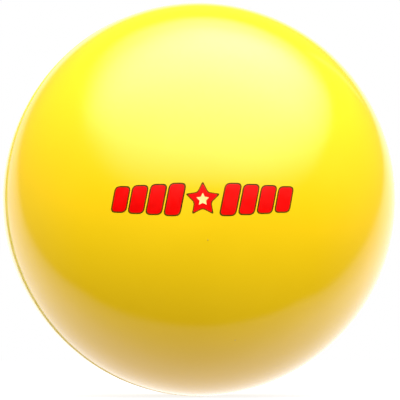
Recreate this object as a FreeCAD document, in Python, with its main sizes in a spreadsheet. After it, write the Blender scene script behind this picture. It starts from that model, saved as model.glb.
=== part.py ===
"""Playground rubber ball: a two-ply moulded ball with a self-sealing needle valve, in millimetres.

The ball is centred on the origin. +Z is up. +Y runs out through the valve, so the parting line of the mould,
where the two cover halves are cured together, is the circle in the XZ plane. Every layer is a solid of
revolution about the Y axis, so each section is drawn in the XY plane, with X as the distance from the axis.
"""

import os

import FreeCAD, Part  # noqa: E401 (FreeCAD has to be imported before Part)
import Sketcher

FOLDER = "parts"

# Driving dimensions, in millimetres, kept in the document's sheet.
DIMENSIONS = {
    "ball_radius": 108.0,  # an 8.5 inch playground ball
    "cover_wall": 1.4,
    "winding_wall": 0.3,
    "bladder_wall": 0.6,
    "seam_rise": 0.12,  # the flash left where the mould halves met
    "seam_root": 0.24,  # how far the flash line's foot reaches into the cover
    "seam_half_width": 0.9,
    "opening_radius": 5.0,  # the hole through all three layers for the valve
    "ring_radius": 8.0,  # the moulded ring round the valve
    "ring_tube": 0.7,
    "ring_rise": 0.3,
    "patch_radius": 24.0,
    "patch_wall": 0.8,
    "flange_radius": 15.0,
    "flange_wall": 1.3,
    "neck_recess": 0.4,  # how far the valve's face lies below the top of the ball
    "barrel_radius": 6.0,
    "barrel_depth": 21.0,
    "barrel_round": 1.0,
    "head_radius": 3.8,
    "head_height": 1.6,
    "stem_radius": 2.7,
    "bulb_radius": 3.6,
    "bulb_top": 7.0,  # depths below the valve's face
    "bulb_bottom": 12.0,
    "bulb_slope": 1.0,  # the height of each of its two tapers
    "stem_depth": 19.0,
    "tip_radius": 1.4,
    "tip_depth": 22.5,
    "needle_radius": 1.1,
    "needle_depth": 16.0,
    "mouth_radius": 1.9,
    "mouth_depth": 0.8,
    "past_surface": 1.0,  # how far a cutting section runs past the surface it opens
}

# Distances from the ball's centre that several pieces share.
COVER_OUTER = "Size.ball_radius"
COVER_INNER = f"{COVER_OUTER} - Size.cover_wall"
WINDING_INNER = f"{COVER_INNER} - Size.winding_wall"
BLADDER_INNER = f"{WINDING_INNER} - Size.bladder_wall"
PATCH_INNER = f"{BLADDER_INNER} - Size.patch_wall"
FLANGE_INNER = f"{PATCH_INNER} - Size.flange_wall"
FLANGE_MIDDLE = f"{PATCH_INNER} - Size.flange_wall / 2"
VALVE_FACE = f"{COVER_OUTER} - Size.neck_recess"
AXIS = "0"


doc = FreeCAD.newDocument("playground_ball")


def make_sheet():
    """The sheet of driving dimensions, one row each: a name, a value and an alias."""
    sheet = doc.addObject("Spreadsheet::Sheet", "Size")
    for row, (alias, value) in enumerate(DIMENSIONS.items(), start=1):
        sheet.set(f"A{row}", alias)
        sheet.set(f"B{row}", str(value))
        sheet.setAlias(f"B{row}", alias)
    doc.recompute()
    return sheet


sheet = make_sheet()


def value_of(expression):
    """The number that an expression gives now."""
    return float(sheet.evalExpression(expression))


def make_body(name):
    body = doc.addObject("PartDesign::Body", name)
    body.Label = name
    body.Placement = FreeCAD.Placement()
    return body


def section_sketch(body, name):
    """An empty sketch in the body's XY plane."""
    plane = next(f for f in body.Origin.OriginFeatures if f.Role == "XY_Plane")
    sketch = body.newObject("Sketcher::SketchObject", name)
    sketch.AttachmentSupport = [(plane, "")]
    sketch.MapMode = "FlatFace"
    return sketch


def bind(sketch, kind, *where, size):
    """A constraint whose size follows an expression in the sheet."""
    index = sketch.addConstraint(Sketcher.Constraint(kind, *where, value_of(size)))
    sketch.setExpression(f"Constraints[{index}]", size)


def place_end(sketch, edge, end, x=None, y=None):
    """Ties one end of an edge to a distance from the Y axis, a height along it, or both."""
    for kind, axis_edge, size in (("DistanceX", -2, x), ("DistanceY", -1, y)):
        if size == AXIS:
            sketch.addConstraint(Sketcher.Constraint("PointOnObject", edge, end, axis_edge))
        elif size is not None:
            bind(sketch, kind, -1, 1, edge, end, size=size)


def draw_outline(sketch, corners):
    """A closed outline of straight edges through corners, each an x and a y expression."""
    points = [FreeCAD.Vector(value_of(x), value_of(y), 0) for x, y in corners]
    edges = [
        sketch.addGeometry(Part.LineSegment(here, there), False)
        for here, there in zip(points, points[1:] + points[:1])
    ]
    for edge, following in zip(edges, edges[1:] + edges[:1]):
        sketch.addConstraint(Sketcher.Constraint("Coincident", edge, 2, following, 1))
    for edge, (x, y) in zip(edges, corners):
        place_end(sketch, edge, 1, x, y)


def end_point(radius, end):
    """Where an end rule, {"x": size} or {"y": size}, meets a circle about the centre. An x is on the valve's
    side, +Y, unless the rule says below."""
    if "y" in end:
        height = value_of(end["y"])
        return FreeCAD.Vector((radius**2 - height**2) ** 0.5, height, 0)
    across = value_of(end["x"])
    side = -1 if end.get("below") else 1
    return FreeCAD.Vector(across, side * (radius**2 - across**2) ** 0.5, 0)


def draw_band(sketch, outer, inner, start, stop):
    """A stretch of wall between two spheres about the centre, from the end rule start up to stop."""
    arcs = []
    for size in (outer, inner):
        radius = value_of(size)
        first, last = (end_point(radius, end) for end in (start, stop))
        angles = [FreeCAD.Vector(1, 0, 0).getAngle(p) * (1 if p.y >= 0 else -1) for p in (first, last)]
        circle = Part.Circle(FreeCAD.Vector(0, 0, 0), FreeCAD.Vector(0, 0, 1), radius)
        arc = sketch.addGeometry(Part.ArcOfCircle(circle, *angles), False)
        sketch.addConstraint(Sketcher.Constraint("Coincident", arc, 3, -1, 1))
        bind(sketch, "Radius", arc, size=size)
        place_end(sketch, arc, 1, start.get("x"), start.get("y"))
        place_end(sketch, arc, 2, stop.get("x"), stop.get("y"))
        arcs.append((arc, first, last))
    (outer_arc, outer_first, outer_last), (inner_arc, inner_first, inner_last) = arcs
    for end, here, there in ((1, outer_first, inner_first), (2, outer_last, inner_last)):
        line = sketch.addGeometry(Part.LineSegment(here, there), False)
        sketch.addConstraint(Sketcher.Constraint("Coincident", line, 1, outer_arc, end))
        sketch.addConstraint(Sketcher.Constraint("Coincident", line, 2, inner_arc, end))


def turn(body, sketch, kind="PartDesign::Revolution"):
    """Turns a section a full circle about the valve's axis, adding or, as a Groove, cutting."""
    feature = body.newObject(kind, f"{sketch.Name}_turned")
    feature.Profile = sketch
    feature.ReferenceAxis = (sketch, ["V_Axis"])
    feature.Angle = 360.0
    before = body.Shape.Volume if feature.BaseFeature else 0.0
    doc.recompute()
    change = body.Shape.Volume - before
    if (change <= 0) != (kind == "PartDesign::Groove"):
        raise RuntimeError(f"{feature.Name} changed the volume by {change:.3f}")
    return feature


def add_band(body, name, outer, inner, start, stop):
    sketch = section_sketch(body, name)
    draw_band(sketch, outer, inner, start, stop)
    return turn(body, sketch)


def add_outline(body, name, corners, kind="PartDesign::Revolution"):
    sketch = section_sketch(body, name)
    draw_outline(sketch, corners)
    return turn(body, sketch, kind)


FRONT_POLE = {"x": AXIS, "below": True}
SEAM = {"y": AXIS}
VALVE_HOLE = {"x": "Size.opening_radius"}


def add_seam(body, side):
    """Half of the flash line: a low ridge that stands proud of the ball where the halves meet."""
    foot = f"{COVER_OUTER} - Size.seam_root"
    corners = [
        (foot, AXIS),
        (f"{COVER_OUTER} + Size.seam_rise", AXIS),
        (foot, f"{side} * Size.seam_half_width"),
    ]
    add_outline(body, f"{body.Name}_seam", corners)


def make_front_cover():
    body = make_body("front_cover_half")
    add_band(body, "front_cover_wall", COVER_OUTER, COVER_INNER, FRONT_POLE, SEAM)
    add_seam(body, -1)
    return body


def make_rear_cover():
    """The half with the valve opening and the moulded ring round it."""
    body = make_body("rear_cover_half")
    add_band(body, "rear_cover_wall", COVER_OUTER, COVER_INNER, SEAM, VALVE_HOLE)
    add_seam(body, 1)
    ring = section_sketch(body, "valve_ring")
    surface = f"sqrt({COVER_OUTER} ^ 2 - Size.ring_radius ^ 2)"
    height = f"{surface} + Size.ring_rise - Size.ring_tube"
    centre = FreeCAD.Vector(value_of("Size.ring_radius"), value_of(height), 0)
    circle = ring.addGeometry(
        Part.Circle(centre, FreeCAD.Vector(0, 0, 1), value_of("Size.ring_tube")), False
    )
    bind(ring, "Radius", circle, size="Size.ring_tube")
    place_end(ring, circle, 3, "Size.ring_radius", height)
    turn(body, ring)
    return body


def make_layer(name, outer, inner):
    """A closed layer inside the cover, open only at the valve."""
    body = make_body(name)
    add_band(body, f"{name}_wall", outer, inner, FRONT_POLE, VALVE_HOLE)
    return body


def make_patch():
    """The washer that stiffens the bladder round the valve."""
    body = make_body("valve_patch")
    rim = {"x": "Size.patch_radius"}
    add_band(body, "valve_patch_wall", BLADDER_INNER, PATCH_INNER, rim, VALVE_HOLE)
    return body


def below_face(depth):
    return f"{VALVE_FACE} - {depth}"


def core_corners():
    """The valve core's outside, from its face down: head, stem, bulb, stem and tapered tip."""
    return [
        (AXIS, VALVE_FACE),
        ("Size.head_radius", VALVE_FACE),
        ("Size.head_radius", below_face("Size.head_height")),
        ("Size.stem_radius", below_face("Size.head_height")),
        ("Size.stem_radius", below_face("Size.bulb_top")),
        ("Size.bulb_radius", below_face("(Size.bulb_top + Size.bulb_slope)")),
        ("Size.bulb_radius", below_face("(Size.bulb_bottom - Size.bulb_slope)")),
        ("Size.stem_radius", below_face("Size.bulb_bottom")),
        ("Size.stem_radius", below_face("Size.stem_depth")),
    ]


def make_housing():
    """The moulded valve body: a flange on the patch, a neck up through the layers and a barrel inwards."""
    body = make_body("valve_housing")
    rim = {"x": "Size.flange_radius"}
    add_band(body, "housing_flange", PATCH_INNER, FLANGE_INNER, rim, {"x": AXIS})
    neck = [
        (AXIS, FLANGE_MIDDLE),
        ("Size.opening_radius", FLANGE_MIDDLE),
        ("Size.opening_radius", VALVE_FACE),
        (AXIS, VALVE_FACE),
    ]
    add_outline(body, "housing_neck", neck)
    barrel_end = f"{COVER_OUTER} - Size.barrel_depth"
    barrel = [
        (AXIS, barrel_end),
        ("Size.barrel_radius - Size.barrel_round", barrel_end),
        ("Size.barrel_radius", f"{barrel_end} + Size.barrel_round"),
        ("Size.barrel_radius", FLANGE_MIDDLE),
        (AXIS, FLANGE_MIDDLE),
    ]
    add_outline(body, "housing_barrel", barrel)
    past_end = f"{barrel_end} - Size.past_surface"
    pocket = core_corners()[:-1] + [("Size.stem_radius", past_end), (AXIS, past_end)]
    add_outline(body, "housing_pocket", pocket, "PartDesign::Groove")
    return body


def make_core():
    """The soft self-sealing core, with a blind passage for the inflation needle. Its tip is closed lips."""
    body = make_body("valve_core")
    tip = [
        ("Size.tip_radius", below_face("Size.tip_depth")),
        (AXIS, below_face("Size.tip_depth")),
    ]
    add_outline(body, "core_body", core_corners() + tip)
    past_face = f"{VALVE_FACE} + Size.past_surface"
    passage = [
        (AXIS, past_face),
        ("Size.mouth_radius", past_face),
        ("Size.mouth_radius", VALVE_FACE),
        ("Size.needle_radius", below_face("Size.mouth_depth")),
        ("Size.needle_radius", below_face("Size.needle_depth")),
        (AXIS, below_face("(Size.needle_depth + Size.needle_radius)")),
    ]
    add_outline(body, "needle_passage", passage, "PartDesign::Groove")
    return body


bodies = [
    make_front_cover(),
    make_rear_cover(),
    make_layer("thread_winding", COVER_INNER, WINDING_INNER),
    make_layer("bladder", WINDING_INNER, BLADDER_INNER),
    make_patch(),
    make_housing(),
    make_core(),
]
doc.recompute()

for thing in doc.Objects:
    if {"Invalid", "Error"} & set(thing.State):
        raise RuntimeError(f"{thing.Name} failed: {thing.State}")
for body in bodies:
    if body.Shape.isNull() or not body.Shape.isValid() or len(body.Shape.Solids) != 1:
        raise RuntimeError(f"{body.Label} isn't one valid solid")

os.makedirs(FOLDER, exist_ok=True)
for body in bodies:
    body.Shape.exportStep(os.path.join(FOLDER, f"{body.Label}.step"))
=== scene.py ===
"""Looks of the playground ball: a glossy yellow moulded ball with a red printed emblem, in a soft studio.

Everything is in metres in the CAD frame: the ball is centred on the origin, +Z is up and +Y runs out through
the valve. The cover halves are rebuilt here as fine meshes; the valve and the layers inside keep their CAD
shape and get their materials.
"""

import math

import bmesh
import bpy
from mathutils import Matrix, Vector, noise


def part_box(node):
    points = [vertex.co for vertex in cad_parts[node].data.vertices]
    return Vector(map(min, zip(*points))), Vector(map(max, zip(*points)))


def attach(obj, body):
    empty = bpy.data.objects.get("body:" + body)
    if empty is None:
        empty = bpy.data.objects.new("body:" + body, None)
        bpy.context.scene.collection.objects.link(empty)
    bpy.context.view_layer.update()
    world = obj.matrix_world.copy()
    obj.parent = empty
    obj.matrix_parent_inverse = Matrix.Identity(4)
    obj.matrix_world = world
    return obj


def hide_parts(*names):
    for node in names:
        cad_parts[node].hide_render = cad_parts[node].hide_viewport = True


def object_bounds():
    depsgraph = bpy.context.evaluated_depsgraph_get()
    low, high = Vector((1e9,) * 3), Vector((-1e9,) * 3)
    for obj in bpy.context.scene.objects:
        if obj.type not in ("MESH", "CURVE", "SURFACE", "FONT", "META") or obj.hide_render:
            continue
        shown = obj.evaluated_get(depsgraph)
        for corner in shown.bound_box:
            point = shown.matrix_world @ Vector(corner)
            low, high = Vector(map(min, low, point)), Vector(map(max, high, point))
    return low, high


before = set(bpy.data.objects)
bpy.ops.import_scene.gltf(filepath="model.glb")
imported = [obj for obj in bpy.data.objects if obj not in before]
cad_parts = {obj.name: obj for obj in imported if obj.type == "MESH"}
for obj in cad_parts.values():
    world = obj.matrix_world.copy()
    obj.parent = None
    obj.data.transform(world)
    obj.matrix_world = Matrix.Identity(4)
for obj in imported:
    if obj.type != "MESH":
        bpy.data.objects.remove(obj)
cad_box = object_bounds()

MM = 0.001
TINY = 1e-9  # a length this short counts as none
BODY = "root"

# ---------------------------------------------------------------- sizes, most of them read from the frame
front_low, front_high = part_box("front_cover_half")
rear_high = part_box("rear_cover_half")[1]
BALL_RADIUS = -front_low.y
SEAM_RISE = front_high.x - BALL_RADIUS
INNER_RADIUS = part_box("thread_winding")[1].x
VALVE_OPENING = 5.0 * MM  # radius of the hole in the rear half
VALVE_RING = 8.0 * MM  # radius of the moulded ring round it
RING_RISE = rear_high.y - math.sqrt(BALL_RADIUS**2 - VALVE_RING**2)

# ---------------------------------------------------------------- camera
CAMERA_AZIMUTH = math.radians(-16.0)  # off the mould's axis, so that the parting line just shows
CAMERA_ELEVATION = math.radians(-4.0)
LENS = 200.0  # mm, on a 36 mm sensor
SENSOR = 36.0
CLIP_END = 100.0
BALL_SHARE = 0.98255  # of the picture's half width that the ball fills
SHIFT = (0.00272, -0.0014)  # of the picture, as shares of its width


def camera_axes():
    """Unit vectors from the ball to the camera, to the picture's right and to its top."""
    towards = Vector((
        math.sin(CAMERA_AZIMUTH) * math.cos(CAMERA_ELEVATION),
        -math.cos(CAMERA_AZIMUTH) * math.cos(CAMERA_ELEVATION),
        math.sin(CAMERA_ELEVATION),
    ))
    right = Vector((math.cos(CAMERA_AZIMUTH), math.sin(CAMERA_AZIMUTH), 0))
    return towards, right, towards.cross(right)


TOWARDS, RIGHT, UP = camera_axes()


def make_camera():
    """A camera at the distance where the ball's outline fills its share of the picture."""
    data = bpy.data.cameras.new("camera")
    data.lens = LENS
    data.sensor_width = SENSOR
    data.clip_end = CLIP_END
    data.shift_x, data.shift_y = SHIFT
    camera = bpy.data.objects.new("camera", data)
    bpy.context.scene.collection.objects.link(camera)
    outline = BALL_SHARE * SENSOR / 2 / LENS
    distance = BALL_RADIUS * math.hypot(1, 1 / outline)
    axes = Matrix((RIGHT, UP, TOWARDS)).transposed().to_4x4()
    camera.matrix_world = Matrix.Translation(TOWARDS * distance) @ axes
    bpy.context.scene.camera = camera


# ---------------------------------------------------------------- shader helpers
def new_material(name):
    material = bpy.data.materials.new(name)
    material.use_nodes = True
    return material, material.node_tree, material.node_tree.nodes["Principled BSDF"]


def link_or_set(tree, socket, value):
    """Feed a socket from another node's output, or set it to a constant."""
    if isinstance(value, bpy.types.NodeSocket):
        tree.links.new(value, socket)
    else:
        socket.default_value = value


def maths(tree, operation, *values, clamp=False):
    node = tree.nodes.new("ShaderNodeMath")
    node.operation = operation
    node.use_clamp = clamp
    for socket, value in zip(node.inputs, values):
        link_or_set(tree, socket, value)
    return node.outputs[0]


def product(tree, first, *others):
    for other in others:
        first = maths(tree, "MULTIPLY", first, other)
    return first


def dot(tree, vector, fixed):
    node = tree.nodes.new("ShaderNodeVectorMath")
    node.operation = "DOT_PRODUCT"
    tree.links.new(vector, node.inputs[0])
    node.inputs[1].default_value = fixed
    return node.outputs["Value"]


def rising(tree, value, low, high):
    """A smooth step from 0 at low to 1 at high."""
    node = tree.nodes.new("ShaderNodeMapRange")
    node.interpolation_type = "SMOOTHSTEP"
    link_or_set(tree, node.inputs["Value"], value)
    node.inputs["From Min"].default_value = low
    node.inputs["From Max"].default_value = high
    return node.outputs["Result"]


def falling(tree, value, low, high):
    """A smooth step from 1 at low to 0 at high."""
    return rising(tree, maths(tree, "MULTIPLY", value, -1), -high, -low)


def colour_of(tree, values):
    node = tree.nodes.new("ShaderNodeCombineColor")
    for socket, value in zip(node.inputs, values):
        link_or_set(tree, socket, value)
    return node.outputs[0]


# ---------------------------------------------------------------- studio
# It is laid out along RIGHT, the camera's right, AWAY, level and away from the camera, and ZENITH, upright.
ZENITH = Vector((0, 0, 1))
AWAY = ZENITH.cross(RIGHT)
WHITE = (1.0, 1.0, 1.0)

# The softbox over the ball. Places on its panel are in units of its distance: u runs to the right, v away.
BOX_TILT = math.radians(35)  # towards the camera
BOX_PEAK = 7.6  # brightness at its middle
BOX_FACING = (0.05, 0.2)  # how far a direction must lean towards the panel to see none or all of it
BOX_LEFT = (-2.05, -0.85)  # u where it fades in
BOX_RIGHT = (2.15, 2.75)  # u where it fades out
BOX_MIDDLE = 0.22  # u of its brightest line
BOX_SIDE_DIMMING = 0.43
BOX_NEAR_LIGHT = 0.79  # share of its brightness at v = 0
BOX_NEAR_GROWTH = 0.59  # gained for each unit of v, until it is full
BOX_BACK = 1.93  # v of its far edge at u = 0
BOX_BACK_SLANT = 0.3  # the far edge's v for each unit of u
BOX_BACK_FADE = (-1.85, 0.75)  # the stretch where it fades out, counted inwards from the far edge
BOX_BACK_DIMMING = (0.03, 1.33)  # the stretch where it dims as well, counted the same way
BOX_BACK_LIGHT = 0.4  # the share it dims to

# The sweep behind and under the ball. Its lean says how far a direction points into it.
SWEEP_LEAN = AWAY - ZENITH * 0.72
SWEEP_START = 0.56  # lean at its near edge
SWEEP_SOFTNESS = 0.05
SWEEP_STEPS = (  # along which way, from where to where and by how much the near edge moves back
    (RIGHT * 0.5 + ZENITH * 0.8, 0.36, 0.47, 0.12),
    (RIGHT, 0.68, 0.82, 0.06),
    (-RIGHT, 0.76, 0.88, 0.035),
)
SWEEP_EDGE = 0.55  # brightness at that edge
SWEEP_GROWTH = 1.6  # gained for each unit of lean
SWEEP_SIDE_GROWTH = 3.0  # added to that at the sides
SWEEP_PEAK = 1.47
SWEEP_LEFT_PEAK = 0.55  # added to the peak on the left, where it isn't low
SWEEP_LEFT = (0.2, 0.5)
SWEEP_NOT_LOW = (-0.4, 0.0)

# The dim room, and the light stand that leans at its back.
ROOM_LEAST = 0.022
ROOM_MOST = 0.17  # added to the least where it is lightest
ROOM_BACK = AWAY + ZENITH * 0.6
ROOM_SIDES = 0.3
ROOM_START = 0.05
ROOM_GROWTH = 0.25
STAND_PLANE = RIGHT - AWAY * 0.47 - ZENITH * 0.24
STAND_HALF_WIDTH = 0.06
STAND_FOOT = (0.25, 0.4)
STAND_TOP = (0.55, 0.68)
STAND_LIGHT = 0.4

# The light on dull surfaces. Each channel, from red to blue, has its shares of softbox, fill and glow.
FILL_WAY = ZENITH * 2.51 - AWAY * 0.87 + RIGHT * 0.23
FILL_START = 0.3
FILL_MOST = 0.9
GLOW_WAY = AWAY - ZENITH
SHED_SHARES = ((0.091, 2.67, 1.0), (0.0, 3.08, 0.86), (0.4, 2.2, 0.5))


def softbox_light(tree, direction):
    """A large overhead softbox, brightest near its middle and fading out towards the camera and far off."""
    facing = ZENITH * math.cos(BOX_TILT) - AWAY * math.sin(BOX_TILT)
    along = AWAY * math.cos(BOX_TILT) + ZENITH * math.sin(BOX_TILT)
    before_panel = dot(tree, direction, facing)
    depth = maths(tree, "MAXIMUM", before_panel, BOX_FACING[0])
    u = maths(tree, "DIVIDE", dot(tree, direction, RIGHT), depth)
    v = maths(tree, "DIVIDE", dot(tree, direction, along), depth)
    near = maths(tree, "MULTIPLY_ADD", v, BOX_NEAR_GROWTH, BOX_NEAR_LIGHT, clamp=True)
    off_middle = maths(tree, "ABSOLUTE", maths(tree, "SUBTRACT", u, BOX_MIDDLE))
    sides = maths(tree, "MULTIPLY", maths(tree, "POWER", off_middle, 2), -BOX_SIDE_DIMMING)
    sides = maths(tree, "EXPONENT", sides)
    from_back = maths(tree, "SUBTRACT", maths(tree, "MULTIPLY_ADD", u, BOX_BACK_SLANT, BOX_BACK), v)
    back = rising(tree, from_back, *BOX_BACK_DIMMING)
    back = maths(tree, "MULTIPLY_ADD", back, 1 - BOX_BACK_LIGHT, BOX_BACK_LIGHT)
    edges = (
        rising(tree, u, *BOX_LEFT),
        falling(tree, u, *BOX_RIGHT),
        rising(tree, from_back, *BOX_BACK_FADE),
        rising(tree, before_panel, *BOX_FACING),
    )
    return product(tree, near, sides, back, *edges, BOX_PEAK)


def sweep_light(tree, direction):
    """The white table and backdrop behind and below the ball, seen past the dark room in front. It starts at
    a clean edge and grows brighter away from it, faster at the sides."""
    edge = SWEEP_START
    for way, low, high, step in SWEEP_STEPS:
        edge = maths(tree, "MULTIPLY_ADD", rising(tree, dot(tree, direction, way), low, high), step, edge)
    past_edge = maths(tree, "SUBTRACT", dot(tree, direction, SWEEP_LEAN), edge)
    sideways = dot(tree, direction, RIGHT)
    growth = maths(tree, "MULTIPLY_ADD", product(tree, sideways, sideways), SWEEP_SIDE_GROWTH, SWEEP_GROWTH)
    left = rising(tree, dot(tree, direction, -RIGHT), *SWEEP_LEFT)
    not_low = rising(tree, dot(tree, direction, ZENITH), *SWEEP_NOT_LOW)
    peak = maths(tree, "MULTIPLY_ADD", product(tree, left, not_low), SWEEP_LEFT_PEAK, SWEEP_PEAK)
    light = maths(tree, "MINIMUM", maths(tree, "MULTIPLY_ADD", past_edge, growth, SWEEP_EDGE), peak)
    return product(tree, light, rising(tree, past_edge, -SWEEP_SOFTNESS, SWEEP_SOFTNESS))


def room_light(tree, direction):
    """The dim room: nearly black before the ball, a little lighter behind and above it, with a light stand's
    pale upright at the back on the right."""
    sideways = dot(tree, direction, RIGHT)
    behind = product(tree, sideways, sideways, ROOM_SIDES)
    behind = maths(tree, "ADD", behind, dot(tree, direction, ROOM_BACK))
    behind = maths(tree, "MAXIMUM", maths(tree, "MULTIPLY_ADD", behind, ROOM_GROWTH, ROOM_START), 0)
    dim = maths(tree, "ADD", maths(tree, "MINIMUM", behind, ROOM_MOST), ROOM_LEAST)
    off_stand = maths(tree, "ABSOLUTE", dot(tree, direction, STAND_PLANE))
    height = dot(tree, direction, ZENITH)
    stand = falling(tree, off_stand, 0, STAND_HALF_WIDTH)
    stand = product(tree, stand, rising(tree, height, *STAND_FOOT), falling(tree, height, *STAND_TOP))
    return maths(tree, "MULTIPLY_ADD", stand, STAND_LIGHT, dim)


def shed_light(tree, direction, softbox):
    """The light that dull surfaces get: the softbox, a broad fill from above and in front, and a warmer glow
    off the table below."""
    fill = maths(tree, "SUBTRACT", dot(tree, direction, FILL_WAY), FILL_START)
    fill = maths(tree, "MINIMUM", maths(tree, "MAXIMUM", fill, 0), FILL_MOST)
    glow = maths(tree, "MAXIMUM", dot(tree, direction, GLOW_WAY), 0)
    channels = []
    for softbox_share, fill_share, glow_share in SHED_SHARES:
        light = maths(tree, "MULTIPLY", softbox, softbox_share)
        light = maths(tree, "MULTIPLY_ADD", fill, fill_share, light)
        channels.append(maths(tree, "MULTIPLY_ADD", glow, glow_share, light))
    return colour_of(tree, channels)


def make_world():
    """The studio as seen by reflections, a softer version of it for the light on dull surfaces, and a plain
    white background."""
    world = bpy.data.worlds.new("studio")
    bpy.context.scene.world = world
    world.use_nodes = True
    world.cycles.sampling_method = "NONE"
    tree = world.node_tree
    tree.nodes.clear()
    direction = tree.nodes.new("ShaderNodeTexCoord").outputs["Generated"]
    path = tree.nodes.new("ShaderNodeLightPath")
    softbox = softbox_light(tree, direction)
    reflected = maths(tree, "ADD", softbox, sweep_light(tree, direction))
    reflected = maths(tree, "ADD", reflected, room_light(tree, direction))

    def background(colour):
        node = tree.nodes.new("ShaderNodeBackground")
        tree.links.new(colour, node.inputs["Color"])
        return node.outputs[0]

    def choose(switch, otherwise, chosen):
        node = tree.nodes.new("ShaderNodeMixShader")
        for socket, value in zip(node.inputs, (switch, otherwise, chosen)):
            tree.links.new(value, socket)
        return node.outputs[0]

    shed = background(shed_light(tree, direction, softbox))
    lit = choose(path.outputs["Is Glossy Ray"], shed, background(colour_of(tree, [reflected] * 3)))
    seen = choose(path.outputs["Is Camera Ray"], lit, background(colour_of(tree, WHITE)))
    out = tree.nodes.new("ShaderNodeOutputWorld")
    tree.links.new(seen, out.inputs["Surface"])


FLOOR_HALF_WIDTH = 6.0
FLOOR_GREY = 0.16
FLOOR_GLOW = 0.84  # with the light on the grey, nearly as white as the background
FLOOR_ROUGHNESS = 0.9


def make_floor():
    """A plain pale floor under the ball. The ball's own light comes from the world, so it sees no floor."""
    half = FLOOR_HALF_WIDTH
    level = cad_box[0][2]
    mesh = bpy.data.meshes.new("floor")
    corners = [(-half, -half), (half, -half), (half, half), (-half, half)]
    mesh.from_pydata([(x, y, level) for x, y in corners], [], [(0, 1, 2, 3)])
    floor = bpy.data.objects.new("floor", mesh)
    bpy.context.scene.collection.objects.link(floor)
    material, _, shader = new_material("floor_paper")
    shader.inputs["Base Color"].default_value = (FLOOR_GREY, FLOOR_GREY, FLOOR_GREY, 1)
    shader.inputs["Emission Color"].default_value = (*WHITE, 1)
    shader.inputs["Emission Strength"].default_value = FLOOR_GLOW
    shader.inputs["Roughness"].default_value = FLOOR_ROUGHNESS
    shader.inputs["Specular IOR Level"].default_value = 0.0
    mesh.materials.append(material)
    floor.visible_glossy = False
    floor.visible_diffuse = False
    floor.visible_shadow = False


# ---------------------------------------------------------------- material helpers
NOISE_LOW = 0.3  # most of a noise texture's values lie between these
NOISE_HIGH = 0.7


def noise_texture(tree, scale, detail=3.0, roughness=0.5):
    """Noise in the object's own coordinates, in features per metre."""
    coordinates = tree.nodes.new("ShaderNodeTexCoord")
    node = tree.nodes.new("ShaderNodeTexNoise")
    tree.links.new(coordinates.outputs["Object"], node.inputs["Vector"])
    node.inputs["Scale"].default_value = scale
    node.inputs["Detail"].default_value = detail
    node.inputs["Roughness"].default_value = roughness
    return node.outputs["Fac"]


def colour_ramp(tree, value, low, high, dark, light):
    """From a dark colour at the low value to a light one at the high value."""
    node = tree.nodes.new("ShaderNodeValToRGB")
    tree.links.new(value, node.inputs["Fac"])
    for element, place, colour in zip(node.color_ramp.elements, (low, high), (dark, light)):
        element.position = place
        element.color = (*colour, 1)
    return node.outputs["Color"]


def map_range(tree, value, low, high, to_low, to_high):
    node = tree.nodes.new("ShaderNodeMapRange")
    link_or_set(tree, node.inputs["Value"], value)
    for name, number in (("From Min", low), ("From Max", high), ("To Min", to_low), ("To Max", to_high)):
        node.inputs[name].default_value = number
    return node.outputs["Result"]


def add_bump(tree, shader, value, height):
    node = tree.nodes.new("ShaderNodeBump")
    node.inputs["Distance"].default_value = height
    tree.links.new(value, node.inputs["Height"])
    tree.links.new(node.outputs["Normal"], shader.inputs["Normal"])


# A mix node has its own sockets for each kind of data: the share and the two values, then the result.
MIX_SOCKETS = {"FLOAT": ((0, 2, 3), 0), "RGBA": ((0, 6, 7), 2)}


def blend(tree, share, one, two, data_type):
    node = tree.nodes.new("ShaderNodeMix")
    node.data_type = data_type
    places, result = MIX_SOCKETS[data_type]
    for place, value in zip(places, (share, one, two)):
        link_or_set(tree, node.inputs[place], value)
    return node.outputs[result]


# ---------------------------------------------------------------- materials
DARK_YELLOW = (0.915, 0.575, 0.0055)
LIGHT_YELLOW = (0.955, 0.607, 0.007)
HANDLED = (0.3, 0.75)  # noise values of the least and the most handled skin
POLISH = (0.1, 0.15)  # roughness of the same
RUBBER_IOR = 1.5
SKIN_GRAIN = 0.004 * MM
BUFFED_AND_SHADED_HALF_WIDTH = 4.6 * MM
BUFFED_AND_SHADED_CORE = 2.2 * MM  # half the width over which it is fully dull and fully darkened by painted shade
BUFFED_AND_SHADED_WANDER = 0.4 * MM  # of the band's edges
BUFFED_AND_SHADED_PATCHES = (0.35, 0.6)  # noise values of its least and most buffed and shaded patches
BUFFED_AND_SHADED_LEAST = 0.78  # share of the dullness and of the painted shade in the least buffed patches
# The band's darker olive colour is painted shade, standing in for the dark reflection along the ball's edge;
# its dullness is real.
PARTING_BAND_SHADE_COLOUR = (0.79, 0.60, 0.012)
BUFFED_ROUGHNESS = 0.55
PARTING_HALF_WIDTH = 0.4 * MM
PARTING_COLOUR = (0.63, 0.46, 0.01)
MOULDED_GRAIN = 0.03 * MM
SMOOTHER = 0.06  # a moulded rubber's least roughness is this far below its usual one
ROUGHER = 0.08  # and its most is this far above it
STRAND_SCALE = 260
STRAND_WAVINESS = 1.5
STRAND_HEIGHT = 0.12 * MM
STRAND_SHADED_SIDE = 0.45  # of its height, where a strand is darkest with painted shade
STRAND_TOP = 0.95  # and where it is lightest
STRAND_TURNS = ((20, 50, 10), (80, -35, 60), (140, 15, 110))  # degrees about x, y and z
THREAD_ROUGHNESS = (0.6, 0.8)


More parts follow.
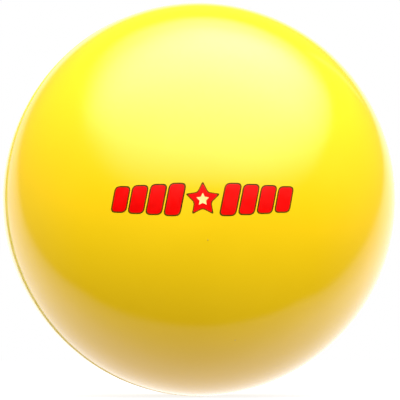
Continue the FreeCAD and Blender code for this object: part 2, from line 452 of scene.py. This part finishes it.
def buffed_and_shaded_share(tree, off_line):
    """How dull the skin is, and how far painted shade darkens it, at a distance off the parting line: a
    patchy band with wandering edges.
    """
    wander = map_range(tree, noise_texture(tree, scale=60, detail=2), 0, 1, -BUFFED_AND_SHADED_WANDER, BUFFED_AND_SHADED_WANDER)
    off_band = maths(tree, "ADD", off_line, wander)
    band = map_range(tree, off_band, BUFFED_AND_SHADED_HALF_WIDTH, BUFFED_AND_SHADED_CORE, 0, 1)
    patches = map_range(tree, noise_texture(tree, scale=160, detail=4), *BUFFED_AND_SHADED_PATCHES, BUFFED_AND_SHADED_LEAST, 1)
    return product(tree, band, patches)


def cover_rubber():
    """Glossy yellow rubber. Where the flash has been buffed off along the parting line, it is dull, and the
    darker olive colour there is painted shade.
    """
    material, tree, shader = new_material("yellow_rubber")
    mottle = noise_texture(tree, scale=14, detail=4)
    colour = colour_ramp(tree, mottle, NOISE_LOW, NOISE_HIGH, DARK_YELLOW, LIGHT_YELLOW)
    place = tree.nodes.new("ShaderNodeSeparateXYZ")
    tree.links.new(tree.nodes.new("ShaderNodeTexCoord").outputs["Object"], place.inputs[0])
    off_line = maths(tree, "ABSOLUTE", place.outputs["Y"])
    buffed_and_shaded = buffed_and_shaded_share(tree, off_line)
    # Painted shade: the band along the parting line is darkened to olive.
    colour = blend(tree, buffed_and_shaded, colour, (*PARTING_BAND_SHADE_COLOUR, 1), "RGBA")
    parting = map_range(tree, off_line, PARTING_HALF_WIDTH, 0, 0, 1)
    colour = blend(tree, parting, colour, (*PARTING_COLOUR, 1), "RGBA")
    tree.links.new(colour, shader.inputs["Base Color"])
    polish = map_range(tree, noise_texture(tree, scale=30, detail=5, roughness=0.6), *HANDLED, *POLISH)
    tree.links.new(blend(tree, buffed_and_shaded, polish, BUFFED_ROUGHNESS, "FLOAT"), shader.inputs["Roughness"])
    shader.inputs["IOR"].default_value = RUBBER_IOR
    add_bump(tree, shader, noise_texture(tree, scale=900, detail=2), SKIN_GRAIN)
    return material


def plain_rubber(name, dark, light, rough):
    """Moulded rubber with faint mottling and a fine grain."""
    material, tree, shader = new_material(name)
    mottle = noise_texture(tree, scale=160, detail=4)
    colour = colour_ramp(tree, mottle, NOISE_LOW, NOISE_HIGH, dark, light)
    tree.links.new(colour, shader.inputs["Base Color"])
    wear = noise_texture(tree, scale=420, detail=4, roughness=0.6)
    wear = map_range(tree, wear, NOISE_LOW, NOISE_HIGH, rough - SMOOTHER, rough + ROUGHER)
    tree.links.new(wear, shader.inputs["Roughness"])
    add_bump(tree, shader, noise_texture(tree, scale=700), MOULDED_GRAIN)
    return material


def wound_thread(name, dark, light):
    """Thread wound round the bladder in three crossing directions, painted darker down the sides of each
    strand as shade in the grooves between strands.
    """
    material, tree, shader = new_material(name)
    coordinates = tree.nodes.new("ShaderNodeTexCoord").outputs["Object"]
    strands = 0.0
    for turns in STRAND_TURNS:
        mapping = tree.nodes.new("ShaderNodeMapping")
        mapping.inputs["Rotation"].default_value = [math.radians(turn) for turn in turns]
        tree.links.new(coordinates, mapping.inputs["Vector"])
        wave = tree.nodes.new("ShaderNodeTexWave")
        wave.inputs["Scale"].default_value = STRAND_SCALE
        wave.inputs["Distortion"].default_value = STRAND_WAVINESS
        tree.links.new(mapping.outputs["Vector"], wave.inputs["Vector"])
        strands = maths(tree, "MAXIMUM", strands, wave.outputs["Fac"])
    # Painted shade: the colour darkens from each strand's top down into the grooves between strands.
    colour = colour_ramp(tree, strands, STRAND_SHADED_SIDE, STRAND_TOP, dark, light)
    tree.links.new(colour, shader.inputs["Base Color"])
    fuzz = noise_texture(tree, scale=600, detail=4)
    fuzz = map_range(tree, fuzz, NOISE_LOW, NOISE_HIGH, *THREAD_ROUGHNESS)
    tree.links.new(fuzz, shader.inputs["Roughness"])
    add_bump(tree, shader, strands, STRAND_HEIGHT)
    return material


# ---------------------------------------------------------------- mesh helpers
RING_STEPS = 384


def add_object(name, mesh, material):
    piece = bpy.data.objects.new(name, mesh)
    bpy.context.scene.collection.objects.link(piece)
    mesh.materials.append(material)
    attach(piece, BODY)
    return piece


def turned_mesh(name, profile):
    """A closed skin turned about the Y axis from (distance from the axis, y) points in order. Points on the
    axis become poles."""
    shape = bmesh.new()
    rings = []
    for across, y in profile:
        if across < TINY:
            rings.append([shape.verts.new((0, y, 0))])
            continue
        angles = (2 * math.pi * i / RING_STEPS for i in range(RING_STEPS))
        rings.append([shape.verts.new((across * math.cos(a), y, across * math.sin(a))) for a in angles])
    has_opening = len(rings[0]) > 1
    pairs = list(zip(rings, rings[1:])) + ([(rings[-1], rings[0])] if has_opening else [])
    for one, two in pairs:
        for i in range(RING_STEPS):
            j = (i + 1) % RING_STEPS
            corners = [one[i % len(one)], one[j % len(one)], two[j % len(two)], two[i % len(two)]]
            unique = list(dict.fromkeys(corners))
            if len(unique) > 2:
                shape.faces.new(unique)
    bmesh.ops.recalc_face_normals(shape, faces=shape.faces)
    mesh = bpy.data.meshes.new(name)
    shape.to_mesh(mesh)
    shape.free()
    mesh.shade_smooth()
    return mesh


# ---------------------------------------------------------------- cover
SEAM_FOOT = 0.9 * MM  # half the width of the flash line
RING_FOOT = 1.1 * MM  # half the width of the valve's ring
SEAM_STEPS = 8  # of the outer profile, over the flash line's half width
RING_PROFILE_STEPS = 24  # from the valve's opening past the ring
SKIN_STEPS = 150  # over the rest of the outer skin
INNER_STEPS = 60
SHARP_ANGLE = math.radians(35)
WAVE_HEIGHT = 0.10 * MM
SLOW_WAVES = 2.3  # noise features in one radius
QUICK_WAVES = 6.1
QUICK_SHARE = 0.4
SEAM_EASE = 12 * MM  # the unevenness grows over this distance from the parting line
VALVE_EASE = 10 * MM  # and over this one round the valve


def skin_height(y, side, away_from_axis):
    """How far the outer skin stands proud of the sphere: the flash line, and on the rear half the moulded
    ring round the valve."""
    from_seam = min(1.0, y / SEAM_FOOT)
    rise = SEAM_RISE * math.cos(from_seam * math.pi / 2) ** 2
    if side > 0:
        off_ring = (away_from_axis - VALVE_RING) / RING_FOOT
        if abs(off_ring) < 1:
            rise += RING_RISE * math.cos(off_ring * math.pi / 2) ** 2
    return rise


def wave_height(place):
    """The slow unevenness of a blown-up rubber skin at a point on it."""
    outward = place.normalized()
    slow = noise.noise(outward * SLOW_WAVES)
    quick = noise.noise(outward * QUICK_WAVES)
    return (slow + QUICK_SHARE * quick) * WAVE_HEIGHT


def ease_to_edges(place, side):
    """1 over most of the ball, 0 at the parting line and round the valve, where skins must meet."""
    from_seam = min(1.0, abs(place.y) / SEAM_EASE)
    if side < 0:
        return from_seam
    from_axis = math.hypot(place.x, place.z)
    return from_seam * min(1.0, max(0.0, (from_axis - 2 * VALVE_RING) / VALVE_EASE))


def steps_between(start, end, steps):
    """Equal steps from the start up to the end, without the end itself."""
    return [start + (end - start) * i / steps for i in range(steps)]


def opening_angle(radius, side):
    """The angle off the half's own axis where a skin of this radius starts: 0, or the valve's opening."""
    return math.asin(VALVE_OPENING / radius) if side > 0 else 0.0


def outer_angles(side):
    """Angles from the half's own pole to the parting line, closer together at the seam and at the valve."""
    angles = []
    start = opening_angle(BALL_RADIUS, side)
    if side > 0:
        ring_edge = (VALVE_RING + RING_FOOT) / BALL_RADIUS
        angles = steps_between(start, ring_edge, RING_PROFILE_STEPS)
        start = ring_edge
    seam = math.pi / 2
    seam_foot = seam - SEAM_FOOT / BALL_RADIUS
    angles += steps_between(start, seam_foot, SKIN_STEPS)
    return angles + steps_between(seam_foot, seam, SEAM_STEPS) + [seam]


def cover_half(name, node, side, material):
    """One half of the cover: its outer skin out to the parting line and its inner skin back to the pole."""
    profile = []
    for angle in outer_angles(side):
        across = BALL_RADIUS * math.sin(angle)
        y = BALL_RADIUS * math.cos(angle)
        reach = 1 + skin_height(y, side, across) / BALL_RADIUS
        profile.append((across * reach, side * y * reach))
    last = opening_angle(INNER_RADIUS, side)
    for angle in steps_between(math.pi / 2, last, INNER_STEPS) + [last]:
        profile.append((INNER_RADIUS * math.sin(angle), side * INNER_RADIUS * math.cos(angle)))
    mesh = turned_mesh(name, profile)
    for vertex in mesh.vertices:
        vertex.co += vertex.co.normalized() * (wave_height(vertex.co) * ease_to_edges(vertex.co, side))
    mesh.set_sharp_from_angle(angle=SHARP_ANGLE)
    piece = add_object(name, mesh, material)
    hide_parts(node)


# ---------------------------------------------------------------- emblem
# A rounded star between two rows of slanting bars, each a dark outline under a red face, with a small pale
# star in the middle. Sizes of the flat drawing are in millimetres.
EMBLEM_OFFSET = 0.018  # of the ball's radius, to the right of its middle in the picture
EMBLEM_CENTRE = (TOWARDS + RIGHT * EMBLEM_OFFSET).normalized()
EMBLEM_RIGHT = (RIGHT - EMBLEM_CENTRE * RIGHT.dot(EMBLEM_CENTRE)).normalized()
EMBLEM_UP = EMBLEM_CENTRE.cross(EMBLEM_RIGHT)
STAR_POINTS = 5
STAR_REACH = 8.3
STAR_WAIST = 0.5  # inner radius as a share of the outer
STAR_ROUNDING = 1.3  # how far from each corner its rounding starts
PALE_STAR_REACH = 3.4
PALE_STAR_ROUNDING = 0.4
BAR_HEIGHTS = [15.6, 14.6, 13.6, 12.6]
BAR_WIDTH = 7.4
BAR_GAP = 2.1
BAR_SLANT = 0.2  # the shift across for each unit of height
BAR_ROUNDING = 2.2
OUTLINE_WIDTH = 0.7
STAR_OUTLINE = 1.5 * OUTLINE_WIDTH  # measured at the tips, where it takes more for the same width
CORNER_STEPS = 6
LONGEST_EDGE = 1.3
INK_LIFT = 0.02 * MM  # of each print layer over the one below
INK_DEPTH = 0.06 * MM  # how far each print layer reaches into the skin
INK_UNEVEN = (0.35, 0.6)  # noise values of its darkest and lightest patches
INK_ROUGHNESS = (0.13, 0.22)
INK_SPECULAR = 0.25
INK_GRAIN = 0.004 * MM


def rounded(corners, rounding):
    """The outline with every corner rounded off, as 2-D points."""
    points = []
    for i, corner in enumerate(corners):
        before = corners[i - 1]
        after = corners[(i + 1) % len(corners)]
        start = corner + (before - corner).normalized() * rounding
        end = corner + (after - corner).normalized() * rounding
        for step in range(CORNER_STEPS + 1):
            t = step / CORNER_STEPS
            points.append(start * (1 - t) ** 2 + corner * (2 * t * (1 - t)) + end * t**2)
    return points


def star(reach, rounding):
    corners = []
    for i in range(2 * STAR_POINTS):
        angle = math.pi / 2 + i * math.pi / STAR_POINTS
        distance = reach if i % 2 == 0 else reach * STAR_WAIST
        corners.append(Vector((math.cos(angle), math.sin(angle))) * distance)
    return rounded(corners, rounding)


def bar(place, width, height, rounding):
    """A slanting bar with rounded corners, centred at a place across the emblem."""
    corners = []
    for x, y in ((0.5, 0.5), (-0.5, 0.5), (-0.5, -0.5), (0.5, -0.5)):
        corners.append(Vector((place + width * x + height * y * BAR_SLANT, height * y)))
    return rounded(corners, rounding)


def on_skin(point, lift):
    """A flat point of the emblem laid on the ball. It keeps its distance and direction from the centre."""
    if point.length < TINY:
        outward = EMBLEM_CENTRE
    else:
        angle = point.length * MM / BALL_RADIUS
        sideways = (EMBLEM_RIGHT * point.x + EMBLEM_UP * point.y) / point.length
        outward = EMBLEM_CENTRE * math.cos(angle) + sideways * math.sin(angle)
    return outward * (BALL_RADIUS + wave_height(outward) + lift)


def fill_outlines(shape, outlines):
    """Fill flat outlines with triangles, none of which has an edge over the longest."""
    for outline in outlines:
        shape.faces.new([shape.verts.new((p.x, p.y, 0)) for p in outline])
    shape.normal_update()
    bmesh.ops.triangulate(shape, faces=shape.faces)
    while True:
        long_edges = [edge for edge in shape.edges if edge.calc_length() > LONGEST_EDGE]
        if not long_edges:
            break
        bmesh.ops.subdivide_edges(shape, edges=long_edges, cuts=1)
        bmesh.ops.triangulate(shape, faces=shape.faces)


def ink_layer(name, outlines, layer, material):
    """Flat outlines laid on the ball as one mesh of thin closed plates. Layer 1 is the lowest."""
    shape = bmesh.new()
    fill_outlines(shape, outlines)
    flat = [vertex.co.to_2d() for vertex in shape.verts]
    shape.verts.index_update()
    loops = [edge.link_loops[0] for edge in shape.edges if edge.is_boundary]
    rim = [(loop.vert.index, loop.link_loop_next.vert.index) for loop in loops]
    top = list(shape.verts)
    bottom = [shape.verts.new((0, 0, 0)) for _ in top]
    for face in list(shape.faces):
        shape.faces.new([bottom[vertex.index] for vertex in reversed(face.verts)])
    for one, two in rim:
        shape.faces.new([top[two], top[one], bottom[one], bottom[two]])
    for high, low, point in zip(top, bottom, flat):
        high.co = on_skin(point, layer * INK_LIFT)
        low.co = on_skin(point, -INK_DEPTH)
    mesh = bpy.data.meshes.new(name)
    shape.to_mesh(mesh)
    shape.free()
    mesh.shade_smooth()
    mesh.normals_split_custom_set_from_vertices([vertex.co.normalized() for vertex in mesh.vertices])
    add_object(name, mesh, material)


def ink(name, dark, light):
    """Glossy printing ink, faintly uneven where it was stamped on."""
    material, tree, shader = new_material(name)
    colour = colour_ramp(tree, noise_texture(tree, scale=220, detail=4), *INK_UNEVEN, dark, light)
    tree.links.new(colour, shader.inputs["Base Color"])
    wear = noise_texture(tree, scale=180, detail=4, roughness=0.6)
    tree.links.new(map_range(tree, wear, NOISE_LOW, NOISE_HIGH, *INK_ROUGHNESS), shader.inputs["Roughness"])
    shader.inputs["Specular IOR Level"].default_value = INK_SPECULAR
    add_bump(tree, shader, noise_texture(tree, scale=300, detail=2), INK_GRAIN)
    return material


def emblem():
    outlines = [star(STAR_REACH + STAR_OUTLINE, STAR_ROUNDING)]
    faces = [star(STAR_REACH, STAR_ROUNDING)]
    pale_star = [star(PALE_STAR_REACH, PALE_STAR_ROUNDING)]
    for side in (-1, 1):
        place = STAR_REACH + BAR_GAP + BAR_WIDTH / 2
        for height in BAR_HEIGHTS:
            outer_size = BAR_WIDTH + 2 * OUTLINE_WIDTH, height + 2 * OUTLINE_WIDTH
            outlines.append(bar(side * place, *outer_size, BAR_ROUNDING + OUTLINE_WIDTH))
            faces.append(bar(side * place, BAR_WIDTH, height, BAR_ROUNDING))
            place += BAR_WIDTH + BAR_GAP
    outline_ink = ink("outline_ink", dark=(0.07, 0.030, 0.001), light=(0.10, 0.045, 0.002))
    red_ink = ink("red_ink", dark=(0.80, 0.0006, 0.0004), light=(0.86, 0.0010, 0.0006))
    pale_ink = ink("pale_ink", dark=(0.95, 0.72, 0.22), light=(0.98, 0.78, 0.30))
    ink_layer("emblem_outline", outlines, 1, outline_ink)
    ink_layer("emblem_face", faces, 2, red_ink)
    ink_layer("emblem_pale_star", pale_star, 3, pale_ink)


# ---------------------------------------------------------------- vent marks
# Tiny nibs left where air left the mould, as (across, up) shares of the radius: those on the emblem's side,
# then those on the valve's side.
FRONT_VENTS = [(0.0415, -0.1895), (0.173, -0.673)]
REAR_VENTS = [(0.31, 0.44), (-0.62, -0.2), (0.12, -0.66)]
NIB_STEPS = 14
NIB_RADIUS = 0.42 * MM
NIB_HEIGHT = 0.14 * MM
# Each ring's share of the nib's radius, and its height over the skin, from the foot up.
NIB_RINGS = ((0.8, -0.1 * MM), (1.0, -0.02 * MM), (0.7, 0.7 * NIB_HEIGHT), (0.3, NIB_HEIGHT))


def add_nib(shape, outward):
    """A low dome standing on the skin, closed underneath."""
    sideways = outward.orthogonal().normalized()
    third = outward.cross(sideways)
    foot = BALL_RADIUS + wave_height(outward)
    rings = []
    for spread, lift in NIB_RINGS:
        ring = []
        for i in range(NIB_STEPS):
            angle = 2 * math.pi * i / NIB_STEPS
            offset = (sideways * math.cos(angle) + third * math.sin(angle)) * (NIB_RADIUS * spread)
            ring.append(shape.verts.new(outward * (foot + lift) + offset))
        rings.append(ring)
    for low, high in zip(rings, rings[1:]):
        for i in range(NIB_STEPS):
            j = (i + 1) % NIB_STEPS
            shape.faces.new([low[i], low[j], high[j], high[i]])
    shape.faces.new(list(reversed(rings[0])))
    shape.faces.new(rings[-1])


def vent_nibs(material):
    shape = bmesh.new()
    for vents, facing in ((FRONT_VENTS, TOWARDS), (REAR_VENTS, -TOWARDS)):
        for across, up in vents:
            depth = math.sqrt(1 - across**2 - up**2)
            add_nib(shape, RIGHT * across + UP * up + facing * depth)
    mesh = bpy.data.meshes.new("vent_nibs")
    shape.to_mesh(mesh)
    shape.free()
    mesh.shade_smooth()
    add_object("vent_nibs", mesh, material)


# ---------------------------------------------------------------- build
make_camera()
make_world()
make_floor()

yellow = cover_rubber()
cover_half("front_cover_skin", "front_cover_half", -1, yellow)
cover_half("rear_cover_skin", "rear_cover_half", 1, yellow)

emblem()
vent_nibs(plain_rubber("vent_rubber", dark=(0.62, 0.37, 0.006), light=(0.74, 0.46, 0.008), rough=0.35))

black = plain_rubber("valve_rubber", dark=(0.012, 0.012, 0.013), light=(0.03, 0.03, 0.031), rough=0.45)
soft_core = plain_rubber("core_rubber", dark=(0.045, 0.036, 0.028), light=(0.075, 0.062, 0.050), rough=0.38)
butyl = plain_rubber("butyl_rubber", dark=(0.015, 0.015, 0.016), light=(0.035, 0.034, 0.033), rough=0.5)
# The thread's darker colour is painted shade between its strands.
thread = wound_thread("nylon_thread", dark=(0.52, 0.48, 0.38), light=(0.80, 0.77, 0.68))
for node, material in (
    ("valve_housing", black), ("valve_core", soft_core), ("valve_patch", butyl), ("bladder", butyl),
    ("thread_winding", thread),
):
    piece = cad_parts[node]
    piece.data.materials.clear()
    piece.data.materials.append(material)

bpy.context.scene.view_settings.view_transform = "Standard"
bpy.context.scene.cycles.use_denoising = True
